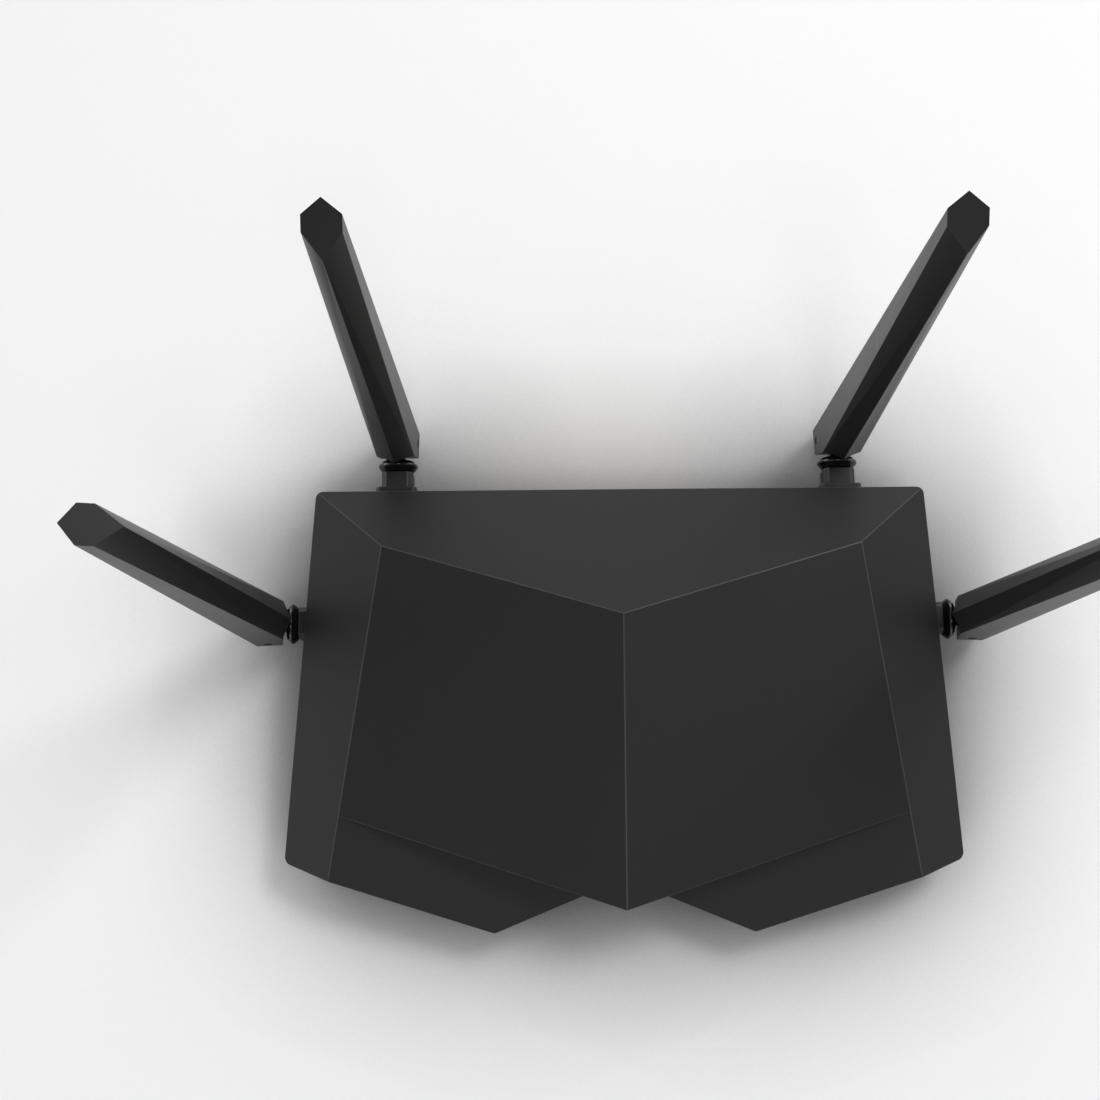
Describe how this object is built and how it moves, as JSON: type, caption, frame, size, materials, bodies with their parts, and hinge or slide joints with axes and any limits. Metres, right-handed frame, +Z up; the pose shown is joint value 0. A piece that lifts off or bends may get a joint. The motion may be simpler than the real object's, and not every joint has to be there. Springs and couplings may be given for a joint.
{
  "type": "wireless router",
  "caption": "Low faceted desktop wireless router with ports along the rear and folding antennas that swivel and tilt on the rear and side walls",
  "frame": {"origin": "middle of the bottom of the bounding box, on the table under the rubber feet, with the antennas upright as at rest", "axes": "+Z up; -Y is the front with the prow; +Y is the rear with the ports and two antennas; +X is the right-hand side as seen from the front, where the DC inlet is; X is the longest extent and Y the shortest"},
  "size_m": [0.2628, 0.1764, 0.1936],
  "materials": {
    "cover": "fine-textured matt dark grey ABS, slight sheen on the creases",
    "case": "fine-textured matt dark grey ABS",
    "antenna": "smooth satin black ABS",
    "knuckle_gloss": "polished black acetal",
    "pin_black": "blackened steel",
    "foot_rubber": "matt moulded rubber",
    "circuit_board": "green solder mask",
    "shield": "tinned steel",
    "heat_sink": "natural anodised",
    "steel": "zinc-plated",
    "wan_jack": "moulded, satin",
    "lan_jack": "moulded, satin",
    "dark_part": "moulded, matt",
    "coax": "fluoropolymer jacket",
    "status_window": "frosted translucent",
    "label": "blank printed film"
  },
  "bodies": {
    "root": {"top_cover": "cover", "bottom_case": "case", "status_window_left": "status_window", "status_window_right": "status_window", "circuit_board": "circuit_board", "cpu_shield": "shield", "radio_shield_left": "shield", "radio_shield_right": "shield", "heat_sink": "heat_sink", "wan_jack": "wan_jack", "lan_jack_1": "lan_jack", "lan_jack_2": "lan_jack", "lan_jack_3": "lan_jack", "dc_jack": "dark_part", "lan_transformer_1": "dark_part", "lan_transformer_2": "dark_part", "reset_switch": "dark_part", "wifi_switch": "dark_part", "filter_capacitor": "steel", "foot_rear_right": "foot_rubber", "foot_front_right": "foot_rubber", "foot_rear_left": "foot_rubber", "foot_front_left": "foot_rubber", "case_screw_1": "steel", "case_screw_2": "steel", "case_screw_3": "steel", "case_screw_4": "steel", "rating_label": "label", "collar_rear_left": "case", "coax_rear_left": "coax", "collar_rear_right": "case", "coax_rear_right": "coax", "collar_side_left": "case", "coax_side_left": "coax", "collar_side_right": "case", "coax_side_right": "coax"},
    "knuckle_rear_left": {"swivel_rear_left": "knuckle_gloss", "tilt_pin_rear_left": "pin_black"},
    "antenna_rear_left": {"blade_front_rear_left": "antenna", "blade_back_rear_left": "antenna", "radiator_rear_left": "circuit_board"},
    "knuckle_rear_right": {"swivel_rear_right": "knuckle_gloss", "tilt_pin_rear_right": "pin_black"},
    "antenna_rear_right": {"blade_front_rear_right": "antenna", "blade_back_rear_right": "antenna", "radiator_rear_right": "circuit_board"},
    "knuckle_side_left": {"swivel_side_left": "knuckle_gloss", "tilt_pin_side_left": "pin_black"},
    "antenna_side_left": {"blade_front_side_left": "antenna", "blade_back_side_left": "antenna", "radiator_side_left": "circuit_board"},
    "knuckle_side_right": {"swivel_side_right": "knuckle_gloss", "tilt_pin_side_right": "pin_black"},
    "antenna_side_right": {"blade_front_side_right": "antenna", "blade_back_side_right": "antenna", "radiator_side_right": "circuit_board"},
    "reset_button": {"reset_button": "dark_part"},
    "wifi_button": {"wifi_button": "dark_part"}
  },
  "joints": [
    {"name": "swivel_rear_left", "type": "hinge", "parent": "root", "child": "knuckle_rear_left", "pos_m": [-0.0744, 0.06549, 0.017], "axis": [0, 1, 0], "range_deg": [-90, 45]},
    {"name": "tilt_rear_left", "type": "hinge", "parent": "knuckle_rear_left", "child": "antenna_rear_left", "pos_m": [-0.0744, 0.07429, 0.0155], "axis": [-1, 0, 0], "range_deg": [0, 88.6]},
    {"name": "swivel_rear_right", "type": "hinge", "parent": "root", "child": "knuckle_rear_right", "pos_m": [0.0744, 0.06549, 0.017], "axis": [0, 1, 0], "range_deg": [-45, 90]},
    {"name": "tilt_rear_right", "type": "hinge", "parent": "knuckle_rear_right", "child": "antenna_rear_right", "pos_m": [0.0744, 0.07429, 0.0155], "axis": [-1, 0, 0], "range_deg": [0, 88.6]},
    {"name": "swivel_side_left", "type": "hinge", "parent": "root", "child": "knuckle_side_left", "pos_m": [-0.10865, 0.01239, 0.017], "axis": [-1, 0, 0], "range_deg": [-90, 90]},
    {"name": "tilt_side_left", "type": "hinge", "parent": "knuckle_side_left", "child": "antenna_side_left", "pos_m": [-0.11745, 0.01239, 0.0155], "axis": [0, -1, 0], "range_deg": [0, 88.6]},
    {"name": "swivel_side_right", "type": "hinge", "parent": "root", "child": "knuckle_side_right", "pos_m": [0.10865, 0.01239, 0.017], "axis": [1, 0, 0], "range_deg": [-90, 90]},
    {"name": "tilt_side_right", "type": "hinge", "parent": "knuckle_side_right", "child": "antenna_side_right", "pos_m": [0.11745, 0.01239, 0.0155], "axis": [0, 1, 0], "range_deg": [0, 88.6]},
    {"name": "press_reset_button", "type": "slide", "parent": "root", "child": "reset_button", "axis": [0, -1, 0], "range_m": [0, 0.0006], "stiffness_N_per_m": 1200, "springref_m": -0.0003},
    {"name": "press_wifi_button", "type": "slide", "parent": "root", "child": "wifi_button", "axis": [0, -1, 0], "range_m": [0, 0.0006], "stiffness_N_per_m": 1200, "springref_m": -0.0003}
  ]
}
